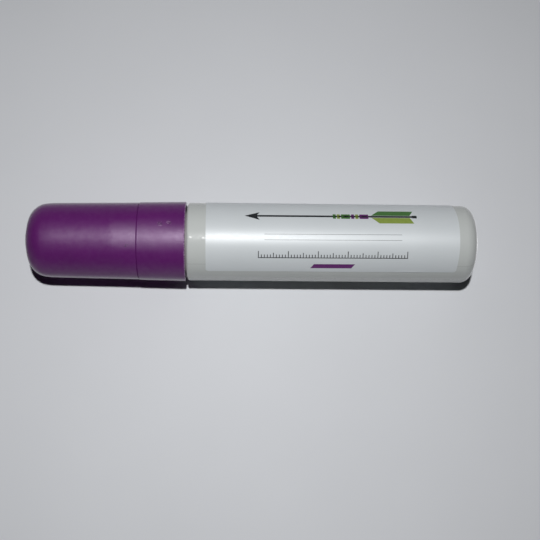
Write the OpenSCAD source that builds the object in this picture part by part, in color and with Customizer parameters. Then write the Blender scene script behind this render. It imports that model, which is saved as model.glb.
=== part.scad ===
// Wide-tip pump-action paint pen, lying on its side.
// The pen's axis runs along +X with the cap towards -X, and +Z is up.
// The origin is on the surface that the pen lies on, under the middle of its length.
// Profiles are lists of [x, radius] points, turned about the pen's axis.

/* [Barrel] */
// Length of the barrel, from its front face to its rear tip
barrel_len = 99.8; // [80:0.1:130]
// Outside diameter of the barrel
barrel_d = 26.8; // [24:0.1:32]
// Wall of the barrel
barrel_wall = 1.9; // [1.5:0.1:2.4]
// Thickness of the closed rear end
barrel_end_wall = 2; // [1:0.1:3]
// Rounding of the front edge
barrel_edge_r = 0.8; // [0.3:0.1:1]
// Radius of the rear end's corner
barrel_corner_r = 4.5; // [3:0.1:8]
// Radius of the rear end's crown
barrel_crown_r = 32; // [25:0.5:60]

/* [Cap] */
// Wall of the cap at its mouth
cap_wall = 1.32; // [0.9:0.02:2]
// Length of the skirt, from the mouth to the mould line
cap_skirt_len = 15.8; // [14:0.1:22]
// How much the skirt's radius falls from the mouth to the mould line
cap_skirt_draft = 0.28; // [0:0.02:0.5]
// Step in the radius at the mould line
cap_step = 0.15; // [0.05:0.01:0.3]
// How much the body's radius falls from the mould line to the domed end
cap_body_draft = 0.42; // [0:0.02:0.8]
// Wall of the cap where the domed end begins
cap_body_wall = 1.29; // [0.9:0.01:1.6]
// Radius of the domed end's corner
cap_corner_r = 6.7; // [4:0.1:9]
// Radius of the domed end's crown
cap_crown_r = 26; // [18:0.5:40]
// Thickness of the domed end
cap_end_wall = 1.5; // [1:0.1:2.5]
// Width and depth of the fine groove at the mould line
cap_groove = 0.4; // [0.1:0.05:0.5]
// Chamfer of the mouth's outer edge
cap_lip = 0.3; // [0.1:0.05:0.5]
// Gap that shows the neck between the cap and the barrel
cap_gap = 0.55; // [0.3:0.05:2]

/* [Cap liner] */
// Wall of the liner
liner_wall = 0.9; // [0.7:0.05:1.3]
// Thickness of the liner's closed end
liner_end_wall = 1.2; // [0.8:0.1:2]
// Rounding of the liner's closed end
liner_corner_r = 2; // [1:0.1:4]
// Length of the sealing lip at the liner's mouth
liner_lip_len = 3; // [1:0.5:5]
// How far the lip stands in from the liner's bore
liner_lip_h = 0.15; // [0.05:0.01:0.3]
// Free space in front of the nib inside the liner
nib_room = 0.9; // [0.5:0.01:4]

/* [Label] */
// Distance from the barrel's front face to the label
label_start = 6.4; // [2:0.1:10]
// Distance from the label to where the barrel's rear corner begins
label_rear_gap = 2.3; // [0.5:0.1:6]
// Angle from the top of the barrel down its near side to the label's lower edge
label_near_deg = 59; // [20:1:90]
// Angle from the top of the barrel down its far side to the label's other edge
label_far_deg = 85; // [60:1:110]
// Thickness of the film
label_film = 0.1; // [0.05:0.01:0.2]

/* [Nib holder] */
// How far the neck stands out from the barrel's bore, to seat on its front face
neck_step = 0.65; // [0.3:0.05:0.7]
// Free space between the neck and the liner's mouth
neck_room = 2.35; // [1:0.05:5]
// Height of the snap bead on the neck
bead_h = 0.15; // [0.05:0.01:0.3]
// Width of the snap bead
bead_w = 1.4; // [0.8:0.1:2]
// Distance of the snap bead from the barrel's front face
bead_at = 9; // [4:0.5:10]
// Length of the plug inside the barrel
plug_len = 8; // [5:0.5:14]
// How far the sealing land runs on in front of the liner's lip
land_over = 2.15; // [0.5:0.05:3]
// Length of the tapered snout
snout_len = 10.5; // [6:0.5:14]
// Wall of the snout at its tip, around the nib's corners and on its flats
snout_wall = 1.3; // [0.8:0.05:1.6]

/* [Nib] */
// Width of the nib's stroke
nib_w = 15; // [10:0.5:16]
// Thickness of the nib
nib_t = 5; // [3:0.25:6]
// Length of felt that stands out of the holder
nib_out = 13; // [9:0.5:16]
// Length of the chisel slope
chisel_len = 5; // [2:0.5:8]
// Thickness of the felt at the chisel edge
chisel_t = 1.6; // [1:0.1:2.5]
// Travel of the nib when it is pumped
nib_stroke = 3.5; // [2:0.25:4.5]
// Distance of the nib's rear end from the barrel's front face
nib_rear_at = 9.3; // [8:0.1:12]

/* [Valve] */
// Thickness of the plate between the nib's slot and the valve
plate_t = 2; // [1.2:0.1:3]
// Diameter of the valve chamber
chamber_d = 15; // [13:0.1:17]
// Thickness of the rubber seat
seat_t = 1.2; // [0.8:0.1:2]
// Diameter of the stem where it passes the seat
stem_d = 3; // [2:0.1:4]
// Width of the ring of space around the stem that the ink flows through
ink_gap = 0.7; // [0.4:0.05:1]
// How far the stem's disc covers the seat around that space
disc_cover = 1.8; // [1:0.1:2.4]
// Thickness of the disc
disc_t = 1.6; // [1:0.1:2.5]
// Diameter of the stem's rear guide
guide_d = 2.4; // [1.6:0.1:2.8]
// Middle diameter of the spring's coil
coil_d = 5.2; // [4.4:0.1:6.4]
// Diameter of the spring's wire
wire_d = 0.7; // [0.4:0.05:0.9]
// Turns of the spring
coil_turns = 6; // [4:1:9]
// Wall of the valve cage
cage_wall = 1; // [0.8:0.1:1.5]
// Width of the flange that seats the cage on the plug
cage_flange_w = 2; // [1:0.1:2.6]
// Width of the ports in the cage
port_w = 3; // [1.5:0.1:4]
// Length of the ports in the cage
port_len = 3; // [1.5:0.1:5]

/* [Mixing ball] */
// Diameter of the ball
ball_d = 6; // [4:0.5:8]

/* [Clearances] */
// Radial play between the cap and the neck's bead, and between the liner's lip and its land
running_clear = 0.05; // [0.02:0.01:0.1]
// Play of pieces that are pressed together
fit_clear = 0.03; // [0.02:0.01:0.05]
// Play around the nib, the stem's guide and the stem's disc
slide_clear = 0.15; // [0.08:0.01:0.3]
// Play between the ball and the barrel
ball_clear = 0.2; // [0.1:0.05:0.5]

/* [Hidden] */
round_fn = 96;
// Cuts overshoot by this much where they have to pass right through
over = 1;

// Radii, outwards from the barrel's bore
barrel_r = barrel_d / 2;
bore_r = barrel_r - barrel_wall;
neck_r = bore_r + neck_step;
bead_r = neck_r + bead_h;
cap_bore_r = bead_r + running_clear;
cap_mouth_r = cap_bore_r + cap_wall;
cap_skirt_r = cap_mouth_r - cap_skirt_draft;
cap_body_r = cap_skirt_r - cap_step;
cap_end_r = cap_body_r - cap_body_draft;

// Radii, inwards from the cap's domed end
cap_hole_r = cap_end_r - cap_body_wall;
liner_r = cap_hole_r - fit_clear;
liner_bore_r = liner_r - liner_wall;
lip_r = liner_bore_r - liner_lip_h;
land_r = lip_r - running_clear;

// The slot that the nib slides in, and the snout's tip around it
slot_w = nib_w + 2 * slide_clear;
slot_t = nib_t + 2 * slide_clear;
snout_tip_r = norm([slot_w, slot_t]) / 2 + snout_wall;
snout_tip_t = slot_t + 2 * snout_wall;

// Depths of the closed ends, from the tip to where the straight wall begins
cap_dome = end_depth(cap_end_r, cap_corner_r, cap_crown_r);
hole_corner_r = cap_corner_r - cap_body_wall;
hole_crown_r = cap_crown_r - cap_end_wall;
hole_dome = end_depth(cap_hole_r, hole_corner_r, hole_crown_r);
barrel_dome = end_depth(barrel_r, barrel_corner_r, barrel_crown_r);
bore_corner_r = barrel_corner_r - barrel_wall;
bore_crown_r = barrel_crown_r - barrel_end_wall;
bore_dome = end_depth(bore_r, bore_corner_r, bore_crown_r);

// Overall lengths: the cap is as long as the nib that it covers needs
liner_front = nib_room + liner_end_wall + fit_clear;
nib_reach = cap_skirt_len + liner_lip_len + land_over + snout_len + nib_out;
cap_len = nib_reach + liner_front + hole_dome + cap_end_wall;
total_len = cap_len + cap_gap + barrel_len;

// Stations along the pen's axis: cap and barrel
axis_z = cap_mouth_r;
x_tip = -total_len / 2;
x_dome = x_tip + cap_dome;
x_hole_dome = x_tip + cap_end_wall + hole_dome;
x_mouth = x_tip + cap_len;
x_mould = x_mouth - cap_skirt_len;
x_face = x_mouth + cap_gap;
x_rear = total_len / 2;
x_corner = x_rear - barrel_dome;
x_bore_end = x_rear - barrel_end_wall;
x_bore_corner = x_bore_end - bore_dome;

// Stations of the nib holder, the nib and the liner
x_plug = x_face + plug_len;
x_bead = x_face - bead_at;
x_neck = x_mould + neck_room;
x_lip = x_mould - liner_lip_len;
x_land = x_lip - land_over;
x_snout = x_land - snout_len;
x_nib_tip = x_snout - nib_out;
x_nib_rear = x_face - nib_rear_at;
x_slot_end = x_nib_rear + nib_stroke + slide_clear;
x_liner_end = x_hole_dome + fit_clear;

// Stations and radii of the valve, backwards from the slot's end
chamber_r = chamber_d / 2;
cage_r = chamber_r - fit_clear;
plate_hole_r = stem_d / 2 + ink_gap;
disc_r = plate_hole_r + disc_cover;
x_plate = x_slot_end + plate_t;
x_seat = x_plate + seat_t;
x_disc = x_seat + slide_clear;
x_disc_back = x_disc + disc_t;
x_flange = x_plug + cage_wall;
x_port = x_flange + cage_wall;
x_spring_end = x_port + port_len;
x_cage_end = x_spring_end + cage_wall;
x_stem_tip = x_nib_rear + slide_clear;
x_stem_end = x_cage_end + cage_wall;

// Ball, lying in the bore at the rear of the barrel
ball_r = ball_d / 2;
ball_drop = bore_r - ball_r - ball_clear;
x_ball = x_bore_corner - ball_r;

// A closed end's crown meets its corner at this angle from the axis
function end_tilt(side_r, corner_r, crown_r) = asin((side_r - corner_r) / (crown_r - corner_r));
function end_depth(side_r, corner_r, crown_r) =
    crown_r - (crown_r - corner_r) * cos(end_tilt(side_r, corner_r, crown_r));

// Lays a shape that was made along +Z along the pen's axis
module on_axis() {
    translate([0, 0, axis_z])
        rotate([0, 90, 0])
            children();
}

// Turns a profile of [x, radius] points about the pen's axis
module turned(profile) {
    on_axis()
        rotate_extrude($fn = round_fn)
            polygon([for (p = profile) [p[1], p[0]]]);
}

// Drum on the pen's axis between two stations
module drum(x_from, x_to, r) {
    on_axis()
        translate([0, 0, x_from])
            cylinder(h = x_to - x_from, r = r, $fn = round_fn);
}

// Ring of round section about the pen's axis
module ring(x, ring_r, section_r) {
    on_axis()
        translate([0, 0, x])
            rotate_extrude($fn = round_fn)
                translate([ring_r, 0])
                    circle(r = section_r, $fn = round_fn);
}

// Half profile of a closed end, with its tip at the origin and its body towards +Y: crown, corner and fill
module end_outline(side_r, corner_r, crown_r) {
    tilt = end_tilt(side_r, corner_r, crown_r);
    depth = end_depth(side_r, corner_r, crown_r);
    touch = [crown_r * sin(tilt), crown_r * (1 - cos(tilt))];
    middle = [side_r - corner_r, depth];
    intersection() {
        translate([0, crown_r])
            circle(r = crown_r, $fn = round_fn);
        square(touch);
    }
    intersection() {
        translate(middle)
            circle(r = corner_r, $fn = round_fn);
        polygon([middle, [side_r, depth], [side_r, touch[1]], touch]);
    }
    polygon([[0, touch[1]], touch, middle, [0, depth]]);
}

// Filled closed end on the pen's axis, with its tip at x and its body towards +X, or towards -X if flipped
module closed_end(x, side_r, corner_r, crown_r, flipped = false) {
    on_axis()
        translate([0, 0, x])
            mirror([0, 0, flipped ? 1 : 0])
                rotate_extrude($fn = round_fn)
                    end_outline(side_r, corner_r, crown_r);
}

// Outside of the cap, filled
module cap_outside() {
    turned([
        [x_dome, 0],
        [x_dome, cap_end_r],
        [x_mould - cap_groove, cap_body_r],
        [x_mould, cap_body_r - cap_groove],
        [x_mould, cap_skirt_r],
        [x_mouth - cap_lip, cap_mouth_r],
        [x_mouth, cap_mouth_r - cap_lip],
        [x_mouth, 0]]);
    closed_end(x_tip, cap_end_r, cap_corner_r, cap_crown_r);
}

module cap_shell() {
    color("#5f2666")
        difference() {
            cap_outside();
            drum(x_mould, x_mouth + over, cap_bore_r);
            drum(x_hole_dome, x_mould + over, cap_hole_r);
            closed_end(x_tip + cap_end_wall, cap_hole_r, hole_corner_r, hole_crown_r);
            ring(x_bead, bead_r + running_clear + bead_h - bead_w / 2, bead_w / 2);
        }
}

module cap_liner() {
    color("#e4e4de")
        difference() {
            union() {
                drum(x_liner_end + liner_corner_r, x_mould, liner_r);
                drum(x_liner_end, x_mould, liner_r - liner_corner_r);
                ring(x_liner_end + liner_corner_r, liner_r - liner_corner_r, liner_corner_r);
            }
            drum(x_liner_end + liner_end_wall, x_lip, liner_bore_r);
            drum(x_lip - over, x_mould + over, lip_r);
        }
}

module barrel() {
    color("#b6b9b8")
        difference() {
            union() {
                drum(x_face + barrel_edge_r, x_corner, barrel_r);
                drum(x_face, x_corner, barrel_r - barrel_edge_r);
                ring(x_face + barrel_edge_r, barrel_r - barrel_edge_r, barrel_edge_r);
                closed_end(x_rear, barrel_r, barrel_corner_r, barrel_crown_r, flipped = true);
            }
            drum(x_face - over, x_bore_corner, bore_r);
            closed_end(x_bore_end, bore_r, bore_corner_r, bore_crown_r, flipped = true);
        }
}

// Film round the barrel from label_far_deg on the far side of the top to label_near_deg on the near side
module label() {
    x_from = x_face + label_start;
    x_to = x_corner - label_rear_gap;
    color("#c9cdce")
        on_axis()
            rotate([0, 0, 180 - label_far_deg])
                rotate_extrude(angle = label_near_deg + label_far_deg, $fn = round_fn)
                    translate([barrel_r, x_from])
                        square([label_film, x_to - x_from]);
}

// Space above or below the snout's sloping flat
module snout_flat(side) {
    slope = atan((land_r - snout_tip_t / 2) / snout_len);
    translate([x_land, 0, axis_z + side * land_r])
        rotate([0, -side * slope, 0])
            translate([-2 * snout_len, -2 * land_r, side > 0 ? 0 : -2 * land_r])
                cube([2 * snout_len, 4 * land_r, 2 * land_r]);
}

module snout() {
    difference() {
        on_axis()
            translate([0, 0, x_snout])
                cylinder(h = snout_len, r1 = snout_tip_r, r2 = land_r, $fn = round_fn);
        for (side = [-1, 1])
            snout_flat(side);
    }
}

module nib_holder() {
    color("#767376")
        difference() {
            union() {
                drum(x_face, x_plug, bore_r - fit_clear);
                drum(x_neck, x_face, neck_r);
                drum(x_land, x_neck, land_r);
                snout();
                ring(x_bead, bead_r - bead_w / 2, bead_w / 2);
            }
            translate([x_snout - over, -slot_w / 2, axis_z - slot_t / 2])
                cube([x_slot_end - x_snout + over, slot_w, slot_t]);
            drum(x_slot_end, x_plug + over, chamber_r);
        }
}

module nib() {
    half_t = nib_t / 2;
    color("#5a2a68")
        translate([0, nib_w / 2, axis_z])
            rotate([90, 0, 0])
                linear_extrude(nib_w)
                    polygon([
                        [x_nib_rear, -half_t],
                        [x_nib_rear, half_t],
                        [x_nib_tip + chisel_len, half_t],
                        [x_nib_tip, chisel_t - half_t],
                        [x_nib_tip, -half_t]]);
}

// Front plate of the valve, pressed in against the shoulder where the nib's slot ends
module valve_plate() {
    color("#dedfda")
        difference() {
            drum(x_slot_end, x_plate, cage_r);
            drum(x_slot_end - over, x_plate + over, plate_hole_r);
        }
}

module valve_seat() {
    color("#2b2b2d")
        difference() {
            drum(x_plate, x_seat, cage_r);
            drum(x_plate - over, x_seat + over, plate_hole_r);
        }
}

module valve_stem() {
    color("#e8e6df") {
        drum(x_stem_tip, x_disc, stem_d / 2);
        drum(x_disc, x_disc_back, disc_r);
        drum(x_disc_back, x_stem_end, guide_d / 2);
    }
}

// Round wire swept along its helix, from the stem's disc to the cage's end
module valve_spring() {
    sides = 8;
    steps = 20;
    rings = coil_turns * steps;
    wire_r = wire_d / 2;
    x_first = x_disc_back + fit_clear + wire_r;
    rise = x_spring_end - fit_clear - wire_r - x_first;
    points = [for (i = [0 : rings], j = [0 : sides - 1])
        let (turn = 360 * i / steps, side = 360 * j / sides, r = coil_d / 2 + wire_r * cos(side))
        [r * cos(turn), r * sin(turn), x_first + rise * i / rings + wire_r * sin(side)]];
    walls = [for (i = [0 : rings - 1], j = [0 : sides - 1])
        let (k = (j + 1) % sides)
        [i * sides + j, i * sides + k, (i + 1) * sides + k, (i + 1) * sides + j]];
    first = [for (j = [sides - 1 : -1 : 0]) j];
    last = [for (j = [0 : sides - 1]) rings * sides + j];
    color("#b9bcc0")
        on_axis()
            polyhedron(points, concat(walls, [first, last]));
}

module valve_cage() {
    color("#dedfda")
        difference() {
            union() {
                drum(x_seat, x_cage_end, cage_r);
                drum(x_plug, x_flange, cage_r + cage_flange_w);
            }
            drum(x_seat - over, x_spring_end, cage_r - cage_wall);
            drum(x_spring_end - over, x_cage_end + over, guide_d / 2 + slide_clear);
            for (turn = [0, 90])
                translate([0, 0, axis_z])
                    rotate([turn, 0, 0])
                        translate([x_port, -chamber_r, -port_w / 2])
                            cube([port_len, chamber_d, port_w]);
        }
}

module mixing_ball() {
    color("#c4c6c8")
        translate([x_ball, 0, axis_z - ball_drop])
            sphere(r = ball_r, $fn = round_fn);
}

cap_shell();
cap_liner();
barrel();
label();
nib_holder();
nib();
valve_plate();
valve_seat();
valve_stem();
valve_spring();
valve_cage();
mixing_ball();
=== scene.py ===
# %% [markdown]
# A wide-tip paint pen, dressed.
# The real pen is a moulded barrel full of paint, with a film label stuck on it and a push-on cap at its
# left end. It lies on a pale table and is seen from above, a little from in front, lit by one small lamp.
# The frame holds every piece at its real size and place. This lesson makes each piece that shows again,
# with soft moulded edges and its own finish, exactly where the frame has it.

import math

import bmesh
import bpy
from mathutils import Matrix, Vector, noise


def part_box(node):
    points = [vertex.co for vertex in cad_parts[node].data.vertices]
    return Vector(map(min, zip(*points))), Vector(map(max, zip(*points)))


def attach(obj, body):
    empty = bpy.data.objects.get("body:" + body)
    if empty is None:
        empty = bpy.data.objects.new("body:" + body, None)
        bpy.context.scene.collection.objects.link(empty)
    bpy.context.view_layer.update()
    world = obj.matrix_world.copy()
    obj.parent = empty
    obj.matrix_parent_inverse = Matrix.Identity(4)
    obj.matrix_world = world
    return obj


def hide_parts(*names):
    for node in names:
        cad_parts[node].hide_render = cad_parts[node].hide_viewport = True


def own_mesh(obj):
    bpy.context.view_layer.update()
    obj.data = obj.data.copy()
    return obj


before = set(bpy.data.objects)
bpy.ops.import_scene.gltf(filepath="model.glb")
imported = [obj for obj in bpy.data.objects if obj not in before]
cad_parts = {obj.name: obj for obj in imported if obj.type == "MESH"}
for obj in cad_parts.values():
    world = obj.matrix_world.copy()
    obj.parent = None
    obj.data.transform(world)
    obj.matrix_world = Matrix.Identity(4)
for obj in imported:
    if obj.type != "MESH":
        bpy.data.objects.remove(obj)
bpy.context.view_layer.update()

# %% [markdown]
# Measuring the frame.
# A turned piece needs only stations along the pen's axis and radii around it. Most of them are the corners
# of the frame's own boxes, so they are read from there and follow the frame if it changes. The rest, such
# as a corner's rounding, are written down beside the piece that needs them. Lengths are in millimetres.

# %% Stations and radii
MM = 0.001
ALONG, ACROSS, UP = Vector((1, 0, 0)), Vector((0, 1, 0)), Vector((0, 0, 1))


def span(node):
    """Lowest and highest corner of a node of the frame, in millimetres."""
    return [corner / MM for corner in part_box(node)]


def radius_of(node):
    """Largest radius of a turned node about the pen's axis."""
    low, high = span(node)
    return (high.y - low.y) / 2


x_tip, x_mouth = (corner.x for corner in span("cap_shell"))
x_face, x_rear = (corner.x for corner in span("barrel"))
x_liner, x_mould = (corner.x for corner in span("cap_liner"))
x_snout, x_plug = (corner.x for corner in span("nib_holder"))
x_slot_end = span("valve_plate")[0].x
cap_mouth_r = radius_of("cap_shell")
barrel_r = radius_of("barrel")
liner_r = radius_of("cap_liner")
bead_r = radius_of("nib_holder")
axis_z = cap_mouth_r
print("Cap from", round(x_tip, 2), "to", round(x_mouth, 2), "and barrel from", round(x_face, 2), "to",
      round(x_rear, 2), "with the axis", round(axis_z, 2), "above the table")

# %% [markdown]
# The camera.
# It hangs about a third of a metre above the table and looks down on the pen from a little in front of it,
# as someone does who leans over a table. That is near enough for the cap's mouth and the label's edge to
# bow a little, as round things do off the middle of a picture. It is also tilted by two degrees to one
# side, as a camera in the hand is, and the lens is chosen so that the pen fills the picture as in the
# photograph.

# %% Camera
CAMERA_AT = Vector((-6.43, -72.02, 325.61))
# Turns about X, Y and Z, in radians
CAMERA_TURN = (0.1968, -0.0399, 0.0011)
CAMERA_LENS = 61.6
CAMERA_SENSOR = 36
camera_data = bpy.data.cameras.new("camera")
camera_data.lens = CAMERA_LENS
camera_data.sensor_width = CAMERA_SENSOR
camera = bpy.data.objects.new("camera", camera_data)
camera.location = CAMERA_AT * MM
camera.rotation_euler = CAMERA_TURN
bpy.context.scene.collection.objects.link(camera)
bpy.context.scene.camera = camera
bpy.context.scene.view_settings.view_transform = "Standard"
print("Camera", round(camera.location.z, 3), "m above the table")

# %% [markdown]
# Nodes and colours.
# Every finish below is a small tree of shader nodes. A few functions add the nodes that come back all the
# time: an operation, a noise, a ramp, a blend of two colours and a relief. Each takes values or the outputs
# of other nodes, so a finish reads as a list of what it is made of. Colours are written as they look on a
# screen, and one function turns them into the linear light that the shader works in.

# %% Helpers for materials
# Places of the colour sockets on the Mix node
MIX_A, MIX_B, MIX_OUT = 6, 7, 2
# Levels between which most of a noise lies
NOISE_LOW, NOISE_HIGH = 0.3, 0.7


def linear(hex_colour):
    """Linear RGBA of a colour written as #rrggbb."""
    shares = [int(hex_colour[i:i + 2], 16) / 255 for i in (1, 3, 5)]
    return [s / 12.92 if s <= 0.04045 else ((s + 0.055) / 1.055) ** 2.4 for s in shares] + [1]


def feed(tree, node, inputs):
    """Gives each input of a node a value, or a link if it is given a socket."""
    for name, value in inputs.items():
        if isinstance(value, bpy.types.NodeSocket):
            tree.links.new(value, node.inputs[name])
        else:
            node.inputs[name].default_value = value


def add(tree, kind, inputs, **settings):
    """Adds one node with its settings and its inputs."""
    node = tree.nodes.new(kind)
    for name, value in settings.items():
        setattr(node, name, value)
    feed(tree, node, inputs)
    return node


def maths(tree, operation, *values):
    """Result of one operation on values or sockets."""
    return add(tree, "ShaderNodeMath", dict(enumerate(values)), operation=operation).outputs[0]


def mottle(tree, place, size, detail):
    """Noise whose features are about this many millimetres wide."""
    noisy = add(tree, "ShaderNodeTexNoise", {"Vector": place, "Scale": 1 / (size * MM), "Detail": detail})
    return noisy.outputs["Fac"]


def ramp(tree, value, start, full, low=0, high=1, ease="LINEAR"):
    """Goes from low to high while a value goes from start to full."""
    return add(tree, "ShaderNodeMapRange",
               {"Value": value, "From Min": start, "From Max": full, "To Min": low, "To Max": high},
               interpolation_type=ease).outputs["Result"]


def blend(tree, share, first, second):
    """A colour between two. Each is a socket or is written as #rrggbb."""
    first, second = (linear(colour) if isinstance(colour, str) else colour for colour in (first, second))
    mix = add(tree, "ShaderNodeMix", {0: share, MIX_A: first, MIX_B: second}, data_type="RGBA")
    return mix.outputs[MIX_OUT]


def relief(tree, height, rise, **under):
    """Normal of a surface that rises by this many millimetres as the height goes from 0 to 1."""
    return add(tree, "ShaderNodeBump", {"Height": height, "Strength": 1, "Distance": rise * MM,
                                        **under}).outputs["Normal"]


def above_axis(tree, place, turned):
    """Height above the pen's axis, in a direction turned by this angle from the top towards the viewer."""
    centred = add(tree, "ShaderNodeVectorMath", {0: place, 1: (0, 0, axis_z * MM)}, operation="SUBTRACT")
    upward = (0, -math.sin(turned), math.cos(turned))
    return add(tree, "ShaderNodeVectorMath", {0: centred.outputs[0], 1: upward},
               operation="DOT_PRODUCT").outputs["Value"]


def new_material(name):
    """A material with its tree, its shader and the piece's own coordinates."""
    material = bpy.data.materials.new(name)
    material.use_nodes = True
    tree = material.node_tree
    shader = tree.nodes["Principled BSDF"]
    place = tree.nodes.new("ShaderNodeTexCoord").outputs["Object"]
    return material, tree, shader, place


def dress(tree, shader, **inputs):
    """Gives the shader's inputs of these names a value or a link."""
    feed(tree, shader, {name.replace("_", " "): value for name, value in inputs.items()})


print("Helpers ready, mid grey is", round(linear("#808080")[0], 3))

# %% [markdown]
# The table.
# The pen lies on a pale, matt sheet. A wide disc stands for it, with a faint cloudiness so that it isn't
# one flat colour. Far from the pen the lamp no longer reaches, so the disc glows softly there in its own
# colour for the eye and for reflections, which keeps the background pale from every side without lighting
# the pen.

# %% Floor
# In metres: the disc's radius, and the distances between which the lamp's light gives way to the glow
FLOOR_R = 4
NEAR_R, FAR_R = 0.142, 0.19
HORIZON_COLOUR = "#b0b2b6"


def table_paper():
    """Matt paper: pale, dull and faintly cloudy, with a glow of its own far from the pen."""
    material, tree, shader, place = new_material("matt_paper_table")
    tint = blend(tree, mottle(tree, place, 45, 3), "#cbcdd1", "#d0d2d6")
    dress(tree, shader, Base_Color=tint, Roughness=0.85, Specular_IOR_Level=0.2)
    glow = add(tree, "ShaderNodeEmission", {"Color": linear(HORIZON_COLOUR)})
    reach = add(tree, "ShaderNodeVectorMath", {0: place}, operation="LENGTH").outputs["Value"]
    far = ramp(tree, reach, NEAR_R, FAR_R, ease="SMOOTHSTEP")
    ray = add(tree, "ShaderNodeLightPath", {}).outputs
    seen = maths(tree, "MAXIMUM", ray["Is Camera Ray"], ray["Is Glossy Ray"])
    seen = maths(tree, "MAXIMUM", seen, ray["Is Transmission Ray"])
    share = maths(tree, "MULTIPLY", seen, far)
    mix = add(tree, "ShaderNodeMixShader", {0: share, 1: shader.outputs[0], 2: glow.outputs[0]})
    tree.links.new(mix.outputs[0], tree.nodes["Material Output"].inputs["Surface"])
    return material


floor_shape = bmesh.new()
bmesh.ops.create_circle(floor_shape, cap_ends=True, segments=96, radius=FLOOR_R)
floor_mesh = bpy.data.meshes.new("floor")
floor_shape.to_mesh(floor_mesh)
floor_shape.free()
floor_mesh.materials.append(table_paper())
floor = bpy.data.objects.new("floor", floor_mesh)
bpy.context.scene.collection.objects.link(floor)
print("Floor", 2 * FLOOR_R, "m across")

# %% [markdown]
# Light.
# One small lamp hangs above the camera, almost straight over the pen. It gives the long highlight on top of
# the pen and the narrow shadow under its near side, which a wide lamp would wash out. Its beam is gathered
# as by a grid and points a little towards the viewer, so the table darkens slowly towards the edges of the
# picture. The room is dark overhead and pale only near the horizon, so almost nothing fills the shadow.

# %% Lamp and room
LAMP_AT = Vector((-10, 7.7, 470))
LAMP_AIM = Vector((-7, -39, 0))
LAMP_WATTS = 0.774
LAMP_SIZE = 18
LAMP_SPREAD = math.radians(115)
# Height of the pale horizon, as the sine of its angle
HORIZON_TOP = 0.07
ROOM_COLOUR = "#0c0d0e"
lamp_data = bpy.data.lights.new("key_lamp", "AREA")
lamp_data.shape = "DISK"
lamp_data.size = LAMP_SIZE * MM
lamp_data.spread = LAMP_SPREAD
lamp_data.energy = LAMP_WATTS
lamp = bpy.data.objects.new("key_lamp", lamp_data)
lamp.location = LAMP_AT * MM
lamp.rotation_euler = (LAMP_AT - LAMP_AIM).to_track_quat("Z", "Y").to_euler()
bpy.context.scene.collection.objects.link(lamp)

world = bpy.data.worlds.new("dim_room")
world.use_nodes = True
bpy.context.scene.world = world
sky = world.node_tree
upward = add(sky, "ShaderNodeSeparateXYZ", {0: sky.nodes.new("ShaderNodeTexCoord").outputs["Generated"]})
height = ramp(sky, upward.outputs["Z"], 0, HORIZON_TOP, ease="SMOOTHSTEP")
room = blend(sky, height, HORIZON_COLOUR, ROOM_COLOUR)
sky.links.new(room, sky.nodes["Background"].inputs["Color"])
print("Lamp at", [round(value, 3) for value in lamp.location])

# %% [markdown]
# Turning a shape.
# Most pieces of a pen are round, so each starts as half of its section: a chain of edges in the plane of
# the axis. A straight stretch adds a vertex, and a round stretch spins the last vertex about the arc's
# centre, so that every curve is a true arc. The whole chain is then spun about the axis, its doubles are
# merged, its normals are set outwards, and its sharp edges are softened as a mould leaves them.

# %% Helpers for turned pieces
AROUND = 144
ARC_STEP = math.radians(7)
MERGE_WITHIN = 0.0005
SOFT_FROM = 35
SHARP_FROM = math.radians(40)


def outline(x, r):
    """Starts the half section of a turned piece."""
    bm = bmesh.new()
    return bm, [bm.verts.new((x, 0, r))]


def lines_to(bm, chain, *points):
    """Carries the section on in straight lines through these stations and radii."""
    for x, r in points:
        chain.append(bm.verts.new((x, 0, r)))
        bm.edges.new(chain[-2:])


def arc_about(bm, chain, x, r, degrees):
    """Carries the section on in an arc about a centre. A positive angle turns from +Z towards +X."""
    angle = math.radians(degrees)
    steps = max(2, round(abs(angle) / ARC_STEP))
    made = bmesh.ops.spin(bm, geom=[chain[-1]], cent=(x, 0, r), axis=ACROSS, angle=angle, steps=steps)
    chain.append(next(item for item in made["geom_last"] if isinstance(item, bmesh.types.BMVert)))


def clean(bm):
    """Merges doubles and turns every face outwards."""
    bmesh.ops.remove_doubles(bm, verts=bm.verts[:], dist=MERGE_WITHIN)
    bmesh.ops.recalc_face_normals(bm, faces=bm.faces[:])


def turn(bm):
    """Spins the section once round the pen's axis."""
    bmesh.ops.spin(bm, geom=bm.verts[:] + bm.edges[:], cent=(0, 0, 0), axis=ALONG, angle=math.tau,
                   steps=AROUND, use_merge=True)
    clean(bm)


def bevel(bm, geom, width, segments, **options):
    """Rounds edges or corners by this width."""
    bmesh.ops.bevel(bm, geom=geom, offset=width, offset_type="OFFSET", segments=segments, profile=0.5,
                    material=-1, **options)


def soften(bm, width, from_degrees=SOFT_FROM):
    """Rounds the edges where two faces meet at more than this angle."""
    sharp = [edge for edge in bm.edges
             if len(edge.link_faces) == 2 and edge.calc_face_angle() > math.radians(from_degrees)]
    bevel(bm, sharp, width, segments=2, affect="EDGES", clamp_overlap=True)


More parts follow.
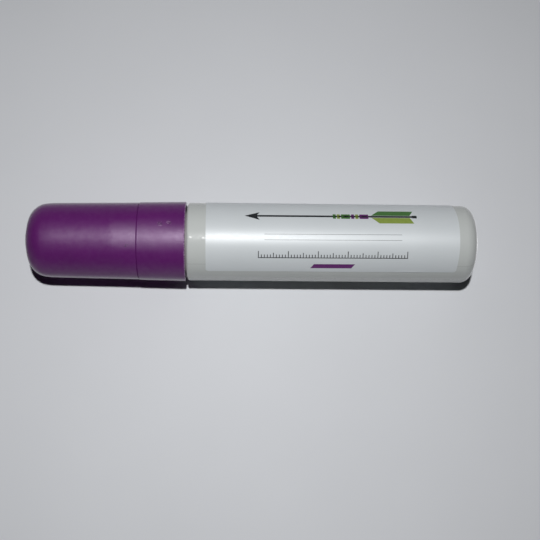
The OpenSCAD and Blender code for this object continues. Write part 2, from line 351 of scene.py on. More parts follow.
def finish_piece(bm, name, body, node, slot, *materials):
    """Puts a shape made about the axis in its place, and makes it the piece that stands for a node."""
    bmesh.ops.scale(bm, verts=bm.verts[:], vec=(MM, MM, MM))
    bmesh.ops.translate(bm, verts=bm.verts[:], vec=(0, 0, axis_z * MM))
    mesh = bpy.data.meshes.new(name)
    bm.to_mesh(mesh)
    bm.free()
    mesh.shade_smooth()
    mesh.set_sharp_from_angle(angle=SHARP_FROM)
    for material in materials:
        mesh.materials.append(material)
    piece = bpy.data.objects.new(name, mesh)
    bpy.context.scene.collection.objects.link(piece)
    piece.modifiers.new("even_shading", "WEIGHTED_NORMAL").keep_sharp = True
    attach(piece, body)
    if node:
        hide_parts(node)
    print("Made", name, "with", len(mesh.polygons), "faces")
    return piece


def end_tilt(side_r, corner_r, crown_r):
    """Angle from the axis, in degrees, at which a closed end's crown meets its corner."""
    return math.degrees(math.asin((side_r - corner_r) / (crown_r - corner_r)))


def end_depth(side_r, corner_r, crown_r):
    """Depth of a closed end, from its tip to where the straight wall begins."""
    tilt = math.radians(end_tilt(side_r, corner_r, crown_r))
    return crown_r - (crown_r - corner_r) * math.cos(tilt)


print("An arc has a point every", round(math.degrees(ARC_STEP)), "degrees")

# %% [markdown]
# Moulded plastic.
# The cap, the barrel and the small inner parts are polypropylene, polyethylene and acetal. All three come
# out of a steel mould, which leaves a fine even grain, and their pigment never spreads quite evenly. One
# flat colour would look like paint, so one function makes a moulded plastic from two close colours, a
# roughness and a grain, and each finish calls it with its own values. The grain is drawn a little coarser
# than on the real surface, so that it shows. At a glancing angle a fine grain hides behind itself and the
# surface looks smoother, which gives a moulded part its pale rims.

# %% Moulded plastic
# Levels of Layer Weight's Facing between which the grain is lost
GLANCE_FROM, GLANCE_FULL = 0.5, 0.8
GRAIN_ROUGH = 0.04


def at_a_glance(tree, rough, polish):
    """Roughness that falls by this much where the surface is seen at a glancing angle."""
    edge = add(tree, "ShaderNodeLayerWeight", {"Blend": 0.5}).outputs["Facing"]
    fall = ramp(tree, edge, GLANCE_FROM, GLANCE_FULL, high=polish, ease="SMOOTHSTEP")
    return maths(tree, "SUBTRACT", rough, fall)


def moulded_plastic(name, deep, pale, rough, grain_mm, grain_height, cloud_mm=9, polish=0.1):
    """A moulded plastic, and with it the nodes and sockets that a finish may build on."""
    material, tree, shader, place = new_material(name)
    tint = blend(tree, mottle(tree, place, cloud_mm, 4), deep, pale)
    grain = mottle(tree, place, grain_mm, 2)
    grained = ramp(tree, grain, NOISE_LOW, NOISE_HIGH, rough - GRAIN_ROUGH, rough + GRAIN_ROUGH)
    smoothed = at_a_glance(tree, grained, polish)
    dress(tree, shader, Base_Color=tint, Roughness=smoothed, Normal=relief(tree, grain, grain_height),
          IOR=1.49)
    return material, tree, shader, place, tint, smoothed


print("Moulded plastic ready")

# %% [markdown]
# The cap.
# A deep cup with a domed end. Its skirt is a hair wider than its body, and a fine groove marks where the
# two halves of the mould met. Inside, the skirt is bored to snap over the bead on the neck, and the deeper
# part holds a liner. A cylinder with a scaled sphere on its end would do from far away, but the dome is a
# crown, a corner and an easing, three arcs that a section can follow. It runs from the dome's tip, along
# the outside to the mouth, and back inside.

# %% Cap sizes
CAP_SKIRT_DRAFT = 0.28
CAP_STEP = 0.15
CAP_BODY_DRAFT = 0.42
CAP_BODY_WALL = 1.29
CAP_CORNER_R = 6.7
CAP_CROWN_R = 26
CAP_EASE_R = 40
CAP_EASE = 6
CAP_END_WALL = 1.5
CAP_GROOVE = 0.4
CAP_GROOVE_FLOOR = 0.1
CAP_LIP = 0.3
CAP_PLAY = 0.05
BEAD_AT = 9
BEAD_W = 1.4
BEAD_H = 0.15
CAP_SOFT = 0.07
cap_skirt_r = cap_mouth_r - CAP_SKIRT_DRAFT
cap_body_r = cap_skirt_r - CAP_STEP
cap_end_r = cap_body_r - CAP_BODY_DRAFT
cap_hole_r = cap_end_r - CAP_BODY_WALL
cap_bore_r = bead_r + CAP_PLAY
hole_corner_r = CAP_CORNER_R - CAP_BODY_WALL
hole_crown_r = CAP_CROWN_R - CAP_END_WALL
ease_reach = CAP_EASE_R - CAP_CORNER_R
dome_r = cap_end_r - ease_reach * (1 - math.cos(math.radians(CAP_EASE)))
x_dome = x_tip + end_depth(dome_r, CAP_CORNER_R, CAP_CROWN_R)
x_wall = x_dome + ease_reach * math.sin(math.radians(CAP_EASE))
x_hole_dome = x_tip + CAP_END_WALL + end_depth(cap_hole_r, hole_corner_r, hole_crown_r)
x_bead = x_face - BEAD_AT
snap_half = math.acos(1 - BEAD_H / (BEAD_W / 2))
snap_reach = BEAD_W / 2 * math.sin(snap_half)
print("The cap's skirt is", round(x_mouth - x_mould, 2), "long and its dome", round(x_dome - x_tip, 2),
      "deep")

# %% [markdown]
# The cap's finish.
# Satin violet polypropylene that has been in many hands. Two places on the skirt are scuffed and one on the
# body is nicked. Along the lip runs a painted highlight, a pale line broken into flecks, where its edge
# would catch the lamp. Along its top the cap shines more where it is held, in zones that begin at ragged
# lines, and the dome's end shines less. A painted image could show all this, but masks worked out from a
# place on the cap stay sharp from near by and need no unwrapping.

# %% Scuffs on the cap
SCUFFS = [(-31.1, 2.9), (-28.2, 3.4)]
NICKS = [(-42, -4.5)]
SCUFF_R = 1.1
SPOT_CORE = 0.3
# Levels of the flecks at which a dent, a chip and the lip's painted highlight begin and are full
DENT_FROM, DENT_FULL = 0.48, 0.42
CHIP_FROM, CHIP_FULL = 0.55, 0.62
LIP_HIGHLIGHT_FROM, LIP_HIGHLIGHT_FULL = 0.35, 0.65
LIP_HIGHLIGHT_MOST = 0.7
# Distances from the mouth at which the lip's painted highlight begins and is full
LIP_FROM, LIP_FULL = 0.35, 0.15


def patches(tree, place, spots, r, reach):
    """A mask that is 1 at each of these places on top of a turned piece and fades out round it."""
    mask = 0
    for x, y in spots:
        spot = (x * MM, y * MM, (axis_z + math.sqrt(r ** 2 - y ** 2)) * MM)
        away = add(tree, "ShaderNodeVectorMath", {0: place, 1: spot}, operation="DISTANCE").outputs["Value"]
        near = ramp(tree, away, SPOT_CORE * reach * MM, reach * MM, 1, 0)
        mask = maths(tree, "MAXIMUM", mask, near)
    return mask


def scuffs_and_lip_highlight(tree, place, along, tint):
    """Dark dents and pale chips where the cap was struck, and a painted highlight along its lip."""
    fleck = mottle(tree, place, 0.5, 2)
    dent = ramp(tree, fleck, DENT_FROM, DENT_FULL)
    chip = ramp(tree, fleck, CHIP_FROM, CHIP_FULL)
    # A painted highlight along the lip: pale flecks where its edge would catch the lamp
    lip_highlight_flecks = ramp(tree, fleck, LIP_HIGHLIGHT_FROM, LIP_HIGHLIGHT_FULL, high=LIP_HIGHLIGHT_MOST)
    lip = ramp(tree, along, (x_mouth - LIP_FROM) * MM, (x_mouth - LIP_FULL) * MM)
    scuffs = patches(tree, place, SCUFFS, cap_body_r, SCUFF_R)
    nicks = patches(tree, place, NICKS, cap_body_r, SCUFF_R)
    dents = maths(tree, "MULTIPLY", maths(tree, "MAXIMUM", scuffs, nicks), dent)
    chips = maths(tree, "MULTIPLY", scuffs, chip)
    pale = maths(tree, "MAXIMUM", chips, maths(tree, "MULTIPLY", lip, lip_highlight_flecks))
    # The pale colour serves both the chips and the lip's painted highlight
    return blend(tree, pale, blend(tree, dents, tint, "#2a0a31"), "#b49ab8")


print("Scuffs:", len(SCUFFS), "and nicks:", len(NICKS))

# %% Gloss of the cap
# Zones along the cap: where each begins, where it is full, and what it adds to the gloss and the roughness
HANDLED = [(-46.5, -44.5, 0.45, 0.03), (-37.5, -36, -0.12, 0), (-29, -24, -0.16, -0.05)]
RAGGED_BY = 4
# The handled strip lies this far round from the top, and begins and is full at these heights above the axis
HANDLED_TURN = math.radians(3)
HANDLED_FROM, HANDLED_FULL = 11.8, 12.9
GLOSS_LOW, GLOSS_HIGH = 0.5, 0.7
# Distances from the dome's tip at which the gloss begins and is full
GLOSS_FROM, GLOSS_FULL = 1, 5


def handled_gloss(tree, place, along, rough):
    """Specular level and roughness of the cap: more or less gloss by zones on top, and none at the tip."""
    smear = mottle(tree, place, 2, 2)
    ragged = maths(tree, "MULTIPLY_ADD", smear, RAGGED_BY * MM, along)
    height = above_axis(tree, place, HANDLED_TURN)
    on_top = ramp(tree, height, HANDLED_FROM * MM, HANDLED_FULL * MM, ease="SMOOTHSTEP")
    gloss = ramp(tree, smear, NOISE_LOW, NOISE_HIGH, GLOSS_LOW, GLOSS_HIGH)
    for start, full, more_gloss, more_rough in HANDLED:
        share = maths(tree, "MULTIPLY", ramp(tree, ragged, start * MM, full * MM), on_top)
        gloss = maths(tree, "MULTIPLY_ADD", share, more_gloss, gloss)
        rough = maths(tree, "MULTIPLY_ADD", share, more_rough, rough)
    off_tip = ramp(tree, along, (x_tip + GLOSS_FROM) * MM, (x_tip + GLOSS_FULL) * MM)
    return maths(tree, "MULTIPLY", gloss, off_tip), rough


print("Handled zones along the cap:", len(HANDLED))

# %% Cap finish
def violet_polypropylene():
    """Satin polypropylene: deep violet, a broad soft highlight, marks of use and a painted lip highlight."""
    material, tree, shader, place, tint, rough = moulded_plastic(
        "satin_violet_polypropylene", "#4f1057", "#5a1861", rough=0.47, grain_mm=0.3, grain_height=0.03,
        polish=0.3)
    along = add(tree, "ShaderNodeSeparateXYZ", {0: place}).outputs["X"]
    colour = scuffs_and_lip_highlight(tree, place, along, tint)
    gloss, rough = handled_gloss(tree, place, along, rough)
    dress(tree, shader, Base_Color=colour, Roughness=rough, Specular_IOR_Level=gloss,
          Specular_Tint=linear("#f7e6fd"))
    return material


violet = violet_polypropylene()
print("Finish", violet.name)

# %% Cap shape
bm, chain = outline(x_tip, 0)
cap_tilt = end_tilt(dome_r, CAP_CORNER_R, CAP_CROWN_R)
arc_about(bm, chain, x_tip + CAP_CROWN_R, 0, cap_tilt)
arc_about(bm, chain, x_dome, dome_r - CAP_CORNER_R, 90 - cap_tilt - CAP_EASE)
arc_about(bm, chain, x_wall, cap_end_r - CAP_EASE_R, CAP_EASE)
lines_to(bm, chain, (x_mould - CAP_GROOVE, cap_body_r),
         (x_mould - CAP_GROOVE_FLOOR, cap_body_r - CAP_GROOVE), (x_mould, cap_body_r - CAP_GROOVE),
         (x_mould, cap_skirt_r), (x_mouth - CAP_LIP, cap_mouth_r))
arc_about(bm, chain, x_mouth - CAP_LIP, cap_mouth_r - CAP_LIP, 90)
lines_to(bm, chain, (x_mouth, cap_bore_r), (x_bead + snap_reach, cap_bore_r))
arc_about(bm, chain, x_bead, cap_bore_r + BEAD_H - BEAD_W / 2, -2 * math.degrees(snap_half))
lines_to(bm, chain, (x_mould, cap_bore_r), (x_mould, cap_hole_r), (x_hole_dome, cap_hole_r))
hole_tilt = end_tilt(cap_hole_r, hole_corner_r, hole_crown_r)
arc_about(bm, chain, x_hole_dome, cap_hole_r - hole_corner_r, hole_tilt - 90)
arc_about(bm, chain, x_tip + CAP_END_WALL + hole_crown_r, 0, -hole_tilt)
turn(bm)
soften(bm, CAP_SOFT)
finish_piece(bm, "cap_moulding", "cap", "cap_shell", "violet_polypropylene", violet)

# %% [markdown]
# The liner.
# A thin cup of natural polyethylene pressed into the cap. Its lip closes on a land in front of the neck and
# keeps the nib wet. The plastic is unpigmented, so it looks milky and waxy. It is turned like the cap, and
# shows as a pale ring deep in the cap when the cap is off.

# %% Liner
LINER_WALL = 0.9
LINER_END_WALL = 1.2
LINER_CORNER_R = 2
LINER_LIP_LEN = 3
LINER_LIP_H = 0.15
LINER_SOFT = 0.1
liner_bore_r = liner_r - LINER_WALL
lip_r = liner_bore_r - LINER_LIP_H
natural = moulded_plastic("waxy_natural_polyethylene", "#dcdcd4", "#e8e8e2", rough=0.42, grain_mm=0.6,
                          grain_height=0.004)[0]
bm, chain = outline(x_liner, 0)
lines_to(bm, chain, (x_liner, liner_r - LINER_CORNER_R))
arc_about(bm, chain, x_liner + LINER_CORNER_R, liner_r - LINER_CORNER_R, 90)
lines_to(bm, chain, (x_mould, liner_r), (x_mould, lip_r), (x_mould - LINER_LIP_LEN, lip_r),
         (x_mould - LINER_LIP_LEN, liner_bore_r), (x_liner + LINER_END_WALL, liner_bore_r),
         (x_liner + LINER_END_WALL, 0))
turn(bm)
soften(bm, LINER_SOFT)
finish_piece(bm, "liner_cup", "cap", "cap_liner", "natural_polyethylene", natural)

# %% [markdown]
# The barrel.
# A light grey tube, closed and rounded at the rear, and turned like the cap. Its front edge has a small
# round that catches the light beside the cap. The wall is smoother than the cap's, so its highlight is
# narrower. A faint line along each side shows where the mould opened, and two low smooth spots near the
# front glint. Both are too slight to model, so a mask draws the line and a bump raises the spots.

# %% Barrel finish
SEAM_TURN = math.radians(47)
SEAM_HALF_W = 0.15
GLINTS = [(-21.2, -1.6), (-16.9, -2)]
GLINT_R = 0.85
GLINT_H = 0.022
GLINT_POLISH = 0.14


def grey_polypropylene():
    """Smooth moulded polypropylene: pale and slightly glossy, with a parting line and two glinting spots."""
    material, tree, shader, place, tint, rough = moulded_plastic(
        "smooth_grey_polypropylene", "#b1b5b4", "#b9bcba", rough=0.36, grain_mm=0.8, grain_height=0.003,
        cloud_mm=14, polish=0.25)
    # Seen from a quarter turn on, both lines lie level with the axis
    away = maths(tree, "ABSOLUTE", above_axis(tree, place, SEAM_TURN - math.pi / 2))
    seam = ramp(tree, away, 0, SEAM_HALF_W * MM, 1, 0)
    glint = patches(tree, place, GLINTS, barrel_r, GLINT_R)
    grain = shader.inputs["Normal"].links[0].from_socket
    dress(tree, shader, Base_Color=blend(tree, seam, tint, "#9fa2a1"),
          Roughness=maths(tree, "MULTIPLY_ADD", glint, -GLINT_POLISH, rough),
          Normal=relief(tree, glint, GLINT_H, Normal=grain), Specular_IOR_Level=0.12, Sheen_Weight=0.45,
          Sheen_Roughness=0.35)
    return material


grey = grey_polypropylene()
print("Finish", grey.name)

# %% Barrel shape
BARREL_WALL = 1.9
BARREL_END_WALL = 2
BARREL_EDGE_R = 0.8
BARREL_CORNER_R = 4
BARREL_CROWN_R = 32
BARREL_SOFT = 0.1
bore_r = barrel_r - BARREL_WALL
bore_corner_r = BARREL_CORNER_R - BARREL_WALL
bore_crown_r = BARREL_CROWN_R - BARREL_END_WALL
x_corner = x_rear - end_depth(barrel_r, BARREL_CORNER_R, BARREL_CROWN_R)
x_bore_end = x_rear - BARREL_END_WALL
x_bore_corner = x_bore_end - end_depth(bore_r, bore_corner_r, bore_crown_r)
bm, chain = outline(x_rear, 0)
barrel_tilt = end_tilt(barrel_r, BARREL_CORNER_R, BARREL_CROWN_R)
arc_about(bm, chain, x_rear - BARREL_CROWN_R, 0, -barrel_tilt)
arc_about(bm, chain, x_corner, barrel_r - BARREL_CORNER_R, barrel_tilt - 90)
lines_to(bm, chain, (x_face + BARREL_EDGE_R, barrel_r))
arc_about(bm, chain, x_face + BARREL_EDGE_R, barrel_r - BARREL_EDGE_R, -90)
lines_to(bm, chain, (x_face, bore_r), (x_bore_corner, bore_r))
bore_tilt = end_tilt(bore_r, bore_corner_r, bore_crown_r)
arc_about(bm, chain, x_bore_corner, bore_r - bore_corner_r, 90 - bore_tilt)
arc_about(bm, chain, x_bore_end - bore_crown_r, 0, bore_tilt)
turn(bm)
soften(bm, BARREL_SOFT)
finish_piece(bm, "barrel_tube", "barrel", "barrel", "grey_polypropylene", grey)

# %% [markdown]
# The nib holder.
# The front section of the pen, pressed into the barrel. While the cap is on, only a narrow strip of its
# neck shows. With the cap off it is the whole front: a neck with a bead that the cap snaps over, a land
# that the liner's lip seals on, and a snout with two flats that slope down to the nib's slot. It is turned
# like the cap. The flats are two straight cuts, each closed again, and a Boolean takes out the slot,
# because a slot with a flat end is no turned shape. The groove in front of the barrel is painted dark
# except on the side that faces the camera: painted shade deep in the narrow gap between the cap and the
# barrel.

# %% Holder sizes and cuts
NECK_LEN = 14
LAND_FROM_FACE = 21.5
LAND_R = 10.4
SNOUT_R = 9.396
SNOUT_HALF_T = 3.95
PLUG_PLAY = 0.03
SLOT_W, SLOT_T = 15.3, 5.3
CUT_OVER, CUT_AHEAD = 0.02, 1
CUT_WITHIN = 1e-4
HOLDER_SOFT = 0.3
HOLDER_SHARP = 20
neck_r = bead_r - BEAD_H
plug_r = bore_r - PLUG_PLAY
chamber_r = radius_of("valve_cage") + PLUG_PLAY
x_neck = x_face - NECK_LEN
x_land = x_face - LAND_FROM_FACE


def take_out(shape, tool):
    """Takes one closed shape out of another and returns what is left. Both are used up."""
    blanks = []
    for source in (shape, tool):
        mesh = bpy.data.meshes.new("blank")
        source.to_mesh(mesh)
        source.free()
        blanks.append(bpy.data.objects.new("blank", mesh))
        bpy.context.scene.collection.objects.link(blanks[-1])
    cut = blanks[0].modifiers.new("cut", "BOOLEAN")
    cut.operation, cut.solver, cut.object = "DIFFERENCE", "EXACT", blanks[1]
    left = bmesh.new()
    left.from_object(blanks[0], bpy.context.evaluated_depsgraph_get())
    # Removing a mesh also removes the object that holds it
    for blank in blanks:
        bpy.data.meshes.remove(blank.data)
    return left


def cut_flat(bm, point, out):
    """Cuts away what lies beyond a plane and closes the cut."""
    made = bmesh.ops.bisect_plane(bm, geom=bm.verts[:] + bm.edges[:] + bm.faces[:], dist=CUT_WITHIN,
                                  plane_co=point, plane_no=out, clear_outer=True)
    rim = [item for item in made["geom_cut"] if isinstance(item, bmesh.types.BMEdge)]
    bmesh.ops.edgenet_fill(bm, edges=rim)
    clean(bm)


print("The neck is", round(2 * neck_r, 2), "across and the slot", SLOT_W, "by", SLOT_T)

# %% Holder finish
# Seen this far round from the top, the painted shade begins this high above the axis, full this much lower
GAP_SHADE_TURN = math.radians(13)
GAP_SHADE_BELOW, GAP_SHADE_FADE = 8, 2
# Distances from the cap's mouth at which the painted shade begins and is full
GAP_SHADE_FROM, GAP_SHADE_FULL = 1.5, 0.5


def holder_polypropylene():
    """Dull moulded polypropylene, with painted shade low in the groove in front of the barrel."""
    material, tree, shader, place, tint, _ = moulded_plastic(
        "moulded_holder_polypropylene", "#716d70", "#7b777a", rough=0.55, grain_mm=0.7, grain_height=0.004)
    height = above_axis(tree, place, GAP_SHADE_TURN)
    low = ramp(tree, height, GAP_SHADE_BELOW * MM, (GAP_SHADE_BELOW - GAP_SHADE_FADE) * MM)
    along = add(tree, "ShaderNodeSeparateXYZ", {0: place}).outputs["X"]
    groove = ramp(tree, along, (x_mouth - GAP_SHADE_FROM) * MM, (x_mouth - GAP_SHADE_FULL) * MM)
    # Painted shade in the narrow gap between the cap and the barrel, dark except on the side facing the
    # camera
    painted_gap_shade = maths(tree, "MULTIPLY", low, groove)
    dress(tree, shader, Base_Color=blend(tree, painted_gap_shade, tint, "#1d1420"))
    return material


dull_grey = holder_polypropylene()
print("Finish", dull_grey.name)

# %% Holder shape
bm, chain = outline(x_snout, 0)
lines_to(bm, chain, (x_snout, SNOUT_R), (x_land, LAND_R), (x_neck, LAND_R), (x_neck, neck_r),
         (x_bead - snap_reach, neck_r))
arc_about(bm, chain, x_bead, bead_r - BEAD_W / 2, 2 * math.degrees(snap_half))
lines_to(bm, chain, (x_face, neck_r), (x_face, plug_r), (x_plug, plug_r), (x_plug, chamber_r),
         (x_slot_end, chamber_r), (x_slot_end, 0))
turn(bm)
flat_fall = LAND_R - SNOUT_HALF_T
for side in (1, -1):
    cut_flat(bm, (x_land, 0, side * LAND_R), (-flat_fall, 0, side * (x_land - x_snout)))
soften(bm, HOLDER_SOFT, from_degrees=HOLDER_SHARP)
x_cut = x_snout - CUT_AHEAD
slot_len = x_slot_end + CUT_OVER - x_cut
slot_tool = bmesh.new()
bmesh.ops.create_cube(slot_tool, size=1, matrix=Matrix.Translation((x_cut + slot_len / 2, 0, 0))
                      @ Matrix.Diagonal((slot_len, SLOT_W, SLOT_T, 1)))
bm = take_out(bm, slot_tool)
clean(bm)
finish_piece(bm, "holder_moulding", "barrel", "nib_holder", "holder_polypropylene", dull_grey)

# %% [markdown]
# The nib.
# A block of pressed polyester felt, cut to a chisel at its end and soaked in violet ink. It starts as a
# box, one straight cut makes the chisel, and a bevel takes the hardness off its edges. Felt is never quite
# flat, so the block is then cut into small fields and each point sinks a few hundredths of a millimetre.
# The fibres are finer than the picture can show, so they are drawn as a coarser grain that runs along the
# nib.

# %% Nib
CHISEL_LEN, CHISEL_T = 5, 1.6
NIB_EDGE_R = 0.4
FELT_FIELD = 0.9
FELT_SINK = 0.07
FELT_WAVES_PER_MM = 0.8
SLICE_WITHIN = 1e-5


def inked_felt():
    """Pressed felt soaked in ink: dark, dull and faintly fibrous along the nib."""
    material, tree, shader, place = new_material("violet_inked_felt")
    lengthwise = add(tree, "ShaderNodeMapping", {"Vector": place, "Scale": (0.25, 1, 1)})
    fibre = mottle(tree, lengthwise.outputs["Vector"], 0.3, 4)
    felt = blend(tree, fibre, "#4a1d52", "#6b3a74")
    tint = blend(tree, mottle(tree, place, 5, 2), felt, "#3c1544")
    dress(tree, shader, Base_Color=tint, Roughness=0.88, Sheen_Weight=0.15, Normal=relief(tree, fibre, 0.05))
    return material


def cut_across(bm, low, high, step, across):
    """Cuts a shape at even steps, so that it can bend or sink."""
    for i in range(1, math.ceil((high - low) / step)):
        bmesh.ops.bisect_plane(bm, geom=bm.verts[:] + bm.edges[:] + bm.faces[:], dist=SLICE_WITHIN,
                               plane_co=across * (low + i * step), plane_no=across)


nib_low, nib_high = (corner - UP * axis_z for corner in span("nib"))
nib_size = nib_high - nib_low
bm = bmesh.new()
bmesh.ops.create_cube(bm, size=1, matrix=Matrix.Translation((nib_low + nib_high) / 2)
                      @ Matrix.Diagonal((*nib_size, 1)))
cut_flat(bm, (nib_low.x, 0, nib_low.z + CHISEL_T), (CHISEL_T - nib_size.z, 0, CHISEL_LEN))
bevel(bm, bm.edges[:], NIB_EDGE_R, segments=3, affect="EDGES")
for i, across in enumerate((ALONG, ACROSS, UP)):
    cut_across(bm, nib_low[i], nib_high[i], FELT_FIELD, across)
bm.normal_update()
for vert in bm.verts:
    vert.co -= vert.normal * FELT_SINK * (0.5 + 0.5 * noise.noise(vert.co * FELT_WAVES_PER_MM))
finish_piece(bm, "felt_nib", "nib", "nib", "inked_felt", inked_felt())

# %% [markdown]
# The valve and the ball.
# Behind the nib sit a front plate, a rubber seat, a stem and a ported cage, and a steel ball stirs the
# paint. None of them shows, and the frame's own solids already have their shape, so each only gets its
# finish: milky polyethylene, dark dull nitrile rubber, hard white acetal and polished steel. The spring is
# wound again from round wire: a circle is spun about the axis while it moves along, which is what a coiling
# machine does.

# %% Valve finishes
STEEL_ROUGH = 0.06


def steel(name, deep, pale, rough, lay):
    """Bare steel: bright metal with marks along the lay, drawn coarser than real ones so that they show."""
    material, tree, shader, place = new_material(name)
    marks = add(tree, "ShaderNodeMapping", {"Vector": place, "Scale": lay})
    fine = mottle(tree, marks.outputs["Vector"], 0.2, 3)
    dress(tree, shader, Base_Color=blend(tree, fine, deep, pale), Metallic=1,
          Roughness=ramp(tree, fine, 0, 1, rough - STEEL_ROUGH, rough + STEEL_ROUGH))
    return material


rubber = moulded_plastic("nitrile_rubber", "#19191b", "#232325", rough=0.68, grain_mm=0.4,
                         grain_height=0.004)[0]
acetal = moulded_plastic("moulded_natural_acetal", "#e4e1d9", "#eeece5", rough=0.35, grain_mm=0.5,
                         grain_height=0.002)[0]
ball_steel = steel("polished_ball_steel", "#b9bbbd", "#c8cacc", rough=0.14, lay=(1, 1, 1))
valve_finishes = {"valve_plate": natural, "valve_seat": rubber, "valve_stem": acetal, "valve_cage": natural,
                  "mixing_ball": ball_steel}
for node, finish in valve_finishes.items():
    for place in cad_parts[node].material_slots:
        place.material = finish
    print("Finish", finish.name, "on", node)

# %% Valve spring
COIL_TURNS = 6
COIL_R = 2.6
WIRE_R = 0.35
TURN_STEPS = 40
WIRE_SIDES = 12
spring_start, spring_end = (corner.x for corner in span("valve_spring"))
spring_rise = spring_end - spring_start - 2 * WIRE_R
bm = bmesh.new()
bmesh.ops.create_circle(bm, cap_ends=True, segments=WIRE_SIDES, radius=WIRE_R,
                        matrix=Matrix.Translation((spring_start + WIRE_R, 0, -COIL_R))
                        @ Matrix.Rotation(math.pi / 2, 4, "X"))
coil_steps = COIL_TURNS * TURN_STEPS
bmesh.ops.spin(bm, geom=bm.verts[:] + bm.edges[:] + bm.faces[:], cent=(0, 0, 0), axis=ALONG,
               dvec=ALONG * (spring_rise / coil_steps), angle=COIL_TURNS * math.tau, steps=coil_steps)
clean(bm)
spring = finish_piece(bm, "spring_coil", "barrel", "valve_spring", "spring_steel",
                      steel("drawn_spring_wire", "#a9acb0", "#bcbfc3", rough=0.28, lay=(1, 0.2, 0.2)))
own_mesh(spring)

# %% [markdown]
# The label.
# A die-cut strip of silver polyester film, a tenth of a millimetre thick, stuck on by hand and so a hair
# off square. It is made flat, as the real one is: a rectangle whose corners are rounded by a vertex bevel,
# cut across so that it can bend, then rolled on to the barrel and given its thickness. Its near edge has
# lifted a little in one place.

# %% Label sizes and helpers
x_label, x_label_end = (corner.x for corner in span("label"))
LABEL_NEAR = math.radians(59)
LABEL_FAR = math.radians(85)
LABEL_CORNER_R = 1
LABEL_SKEW = math.radians(0.25)
LABEL_BOW = 1.2
LIFT_X = 54
LIFT_HALF_W = 3
LIFT_H = 0.12
LIFT_DEEP = 1.4
BEND_STEP, LENGTH_STEP = 0.4, 1.5
label_film = span("label")[1].z - axis_z - barrel_r
label_r = barrel_r + label_film
label_len = x_label_end - x_label


def flat_bar(bm, x, s, length, height):
    """A rectangle in the flat, with x along the pen and s round it from the top."""
    place = Matrix.Translation((x, s, 0)) @ Matrix.Diagonal((length, height, 1, 1))
    return bmesh.ops.create_grid(bm, x_segments=1, y_segments=1, size=0.5, matrix=place)["verts"]


def roll_on(bm, r):
    """Bends the flat shapes round the barrel. What stands above the flat stands out from the barrel."""
    middle = (x_label + x_label_end) / 2
    for vert in bm.verts:
        x, s, h = vert.co
        angle = (s + (x - middle) * math.tan(LABEL_SKEW)) / r
        vert.co = (x - s * math.tan(LABEL_SKEW), (r + h) * math.sin(angle), (r + h) * math.cos(angle))


def thicken(bm, thickness):
    """Gives a rolled sheet its thickness, outwards from the pen's axis."""
    for face in bm.faces:
        face.normal_update()
        if face.normal.dot(face.calc_center_median() * Vector((0, 1, 1))) < 0:
            face.normal_flip()
    bmesh.ops.solidify(bm, geom=bm.faces[:], thickness=-thickness)
    clean(bm)
    reach = [vert.co.yz.length for vert in bm.verts]
    print("The sheet lies between radius", round(min(reach), 3), "and", round(max(reach), 3))


print("The label is", round(label_len, 1), "long and", round(label_film, 2), "thick")

# %% Label finish
def silver_film():
    """Satin silver polyester film: pale metal flake under a clear skin, with a long bright highlight."""
    material, tree, shader, place = new_material("silver_polyester_film")
    tint = blend(tree, mottle(tree, place, 16, 3), "#c2c7ca", "#cacfd2")
    # Real flake is finer, and is drawn as coarse as it needs to show
    flake = mottle(tree, place, 0.35, 2)
    rough = ramp(tree, flake, NOISE_LOW, NOISE_HIGH, 0.4, 0.47)
    wavy = relief(tree, mottle(tree, place, 7, 1), 0.02)
    dress(tree, shader, Base_Color=tint, Roughness=at_a_glance(tree, rough, polish=0.1),
          Normal=relief(tree, flake, 0.003, Normal=wavy), Metallic=0.05, IOR=1.5)
    return material


film = silver_film()
print("Finish", film.name)

# %% Label shape
near_s, far_s = -barrel_r * LABEL_NEAR, barrel_r * LABEL_FAR
bm = bmesh.new()
corners = flat_bar(bm, x_label + label_len / 2, (near_s + far_s) / 2, label_len, far_s - near_s)
bevel(bm, corners, LABEL_CORNER_R, segments=6, affect="VERTICES")
cut_across(bm, near_s, far_s, BEND_STEP, ACROSS)
cut_across(bm, x_label, x_label_end, LENGTH_STEP, ALONG)
for vert in bm.verts:
    bow = LABEL_BOW * (1 - math.cos(vert.co.y / barrel_r))
    vert.co.x -= bow * (vert.co.x - x_label) / label_len
    along = math.exp(-((vert.co.x - LIFT_X) / LIFT_HALF_W) ** 2)
    inward = max(0, 1 - (vert.co.y - near_s) / LIFT_DEEP)
    vert.co.z = LIFT_H * along * inward ** 2
roll_on(bm, barrel_r)
thicken(bm, label_film)
finish_piece(bm, "label_film", "barrel", "label", "silver_film", film)

# %% [markdown]
# The label's print.
# A plain design made for this pen: an arrow with green vanes and a few cresting bands on its shaft, two
# fine rules, a row of ruler ticks, and a violet sample of the ink. A picture on the film would blur from
# near by. So each motif is a flat shape cut from a few corners, rolled on over the film like the label
# itself, and given the thickness of a layer of ink.

# %% Print inks
INK_T = 0.012


def label_ink(name, deep, pale):
    """Screen-printed ink: flat and satin, slightly uneven where the screen laid it thinner."""
    material, tree, shader, place = new_material(name)
    thin = mottle(tree, place, 0.9, 3)
    dress(tree, shader, Base_Color=blend(tree, thin, deep, pale),
          Roughness=ramp(tree, thin, 0, 1, 0.34, 0.5))
    return material


DARK, GREEN, OLIVE, VIOLET, GREY = range(5)
inks = [label_ink("dark_print_ink", "#17191d", "#24272b"),
        label_ink("green_print_ink", "#38602f", "#477339"),
        label_ink("olive_print_ink", "#75863a", "#87984a"),
        label_ink("violet_print_ink", "#561f5d", "#64296b"),
        label_ink("grey_print_ink", "#6a6e72", "#7a7e82")]
print("Inks:", ", ".join(ink.name for ink in inks))

# %% Helpers for the print
def inked(ink, verts):
    """Gives the faces between these vertices one ink."""
    for face in {face for vert in verts for face in vert.link_faces}:
        face.material_index = ink


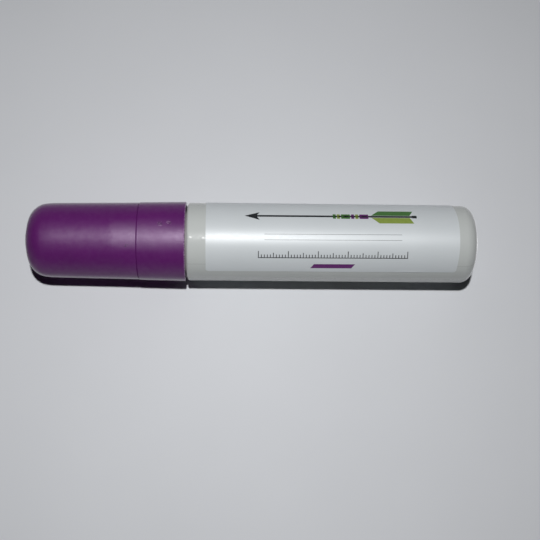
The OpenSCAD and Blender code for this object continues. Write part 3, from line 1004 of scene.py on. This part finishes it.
def blade(bm, ink, *points):
    """A flat shape with straight sides through a few corners."""
    verts = [bm.verts.new((x, s, 0)) for x, s in points]
    bm.faces.new(verts)
    inked(ink, verts)


def bar(bm, ink, x, s, length, height):
    """A printed rectangle about its middle."""
    inked(ink, flat_bar(bm, x, s, length, height))


print("Print helpers ready")

# %% Arrow motif
ARROW_S = 6.7
ARROW_FROM, ARROW_LEN = 13, 58
SHAFT_H = 0.75
HEAD_LEN, HEAD_H, HEAD_NOTCH = 5, 3.4, 1.1
VANE_LEN, VANE_H, VANE_SLANT, VANE_GAP = 13, 2.3, 2.6, 0.12
NOCK_LEN, NOCK_H, NOCK_GAP = 1.6, 1.2, 0.8
CREST_H, CREST_GAP, CREST_FROM_VANE = 2, 0.4, 1
CREST_BANDS = [(VIOLET, 3), (OLIVE, 1), (VIOLET, 1), (GREEN, 3), (OLIVE, 1), (GREEN, 1)]
print_mesh = bmesh.new()
x_point = x_label + ARROW_FROM
x_barb = x_point + HEAD_LEN
x_nock = x_point + ARROW_LEN
x_shaft = x_barb - HEAD_NOTCH
x_vane = x_nock - NOCK_LEN - NOCK_GAP - VANE_LEN
bar(print_mesh, DARK, (x_shaft + x_nock) / 2, ARROW_S, x_nock - x_shaft, SHAFT_H)
for side, vane_ink in ((1, GREEN), (-1, OLIVE)):
    blade(print_mesh, DARK, (x_point, ARROW_S), (x_barb, ARROW_S + side * HEAD_H / 2), (x_shaft, ARROW_S))
    foot = ARROW_S + side * (SHAFT_H / 2 + VANE_GAP)
    edge = foot + side * VANE_H
    blade(print_mesh, vane_ink, (x_vane, foot), (x_vane + VANE_SLANT, edge),
          (x_vane + VANE_LEN + VANE_SLANT / 2, edge), (x_vane + VANE_LEN, foot))
bar(print_mesh, DARK, x_nock - NOCK_LEN / 2, ARROW_S, NOCK_LEN, NOCK_H)
x_band = x_vane - CREST_FROM_VANE
for ink, width in CREST_BANDS:
    bar(print_mesh, ink, x_band - width / 2, ARROW_S, width, CREST_H)
    x_band -= width + CREST_GAP
print("Arrow from", round(x_point, 1), "to", round(x_nock, 1), "with", len(CREST_BANDS), "bands")

# %% Rules, ruler and ink sample
RULE_S, RULE_GAP, RULE_H, RULE_LEN = -0.2, 1.9, 0.16, 46
RULER_S, RULER_LEN, TICK_W = -8.2, 50, 0.26
TICK_H = {10: 2.2, 5: 1.6, 1: 1}
SAMPLE_S, SAMPLE_H, SAMPLE_LEN, SAMPLE_SLANT = -11.4, 1.7, 15, 1.2
x_middle = (x_label + x_label_end) / 2
for row in range(2):
    bar(print_mesh, GREY, x_middle, RULE_S - row * RULE_GAP, RULE_LEN, RULE_H)
x_ruler = x_middle - RULER_LEN / 2
bar(print_mesh, DARK, x_middle, RULER_S, RULER_LEN + TICK_W, TICK_W)
for mark in range(RULER_LEN + 1):
    tall = next(size for step, size in TICK_H.items() if mark % step == 0)
    bar(print_mesh, DARK, x_ruler + mark, RULER_S + (tall + TICK_W) / 2, TICK_W, tall)
low, high = SAMPLE_S - SAMPLE_H / 2, SAMPLE_S + SAMPLE_H / 2
blade(print_mesh, VIOLET, (x_middle - SAMPLE_LEN / 2, low), (x_middle + SAMPLE_LEN / 2 - SAMPLE_SLANT, low),
      (x_middle + SAMPLE_LEN / 2, high), (x_middle - SAMPLE_LEN / 2 + SAMPLE_SLANT, high))
print("A ruler of", RULER_LEN, "mm and a sample", SAMPLE_LEN, "mm long")

# %% Roll the print on
heights = [vert.co.y for vert in print_mesh.verts]
cut_across(print_mesh, min(heights), max(heights), BEND_STEP, ACROSS)
cut_across(print_mesh, x_label, x_label_end, LENGTH_STEP, ALONG)
roll_on(print_mesh, label_r)
thicken(print_mesh, INK_T)
finish_piece(print_mesh, "label_print", "barrel", None, None, *inks)

# %% Update the scene
bpy.context.view_layer.update()
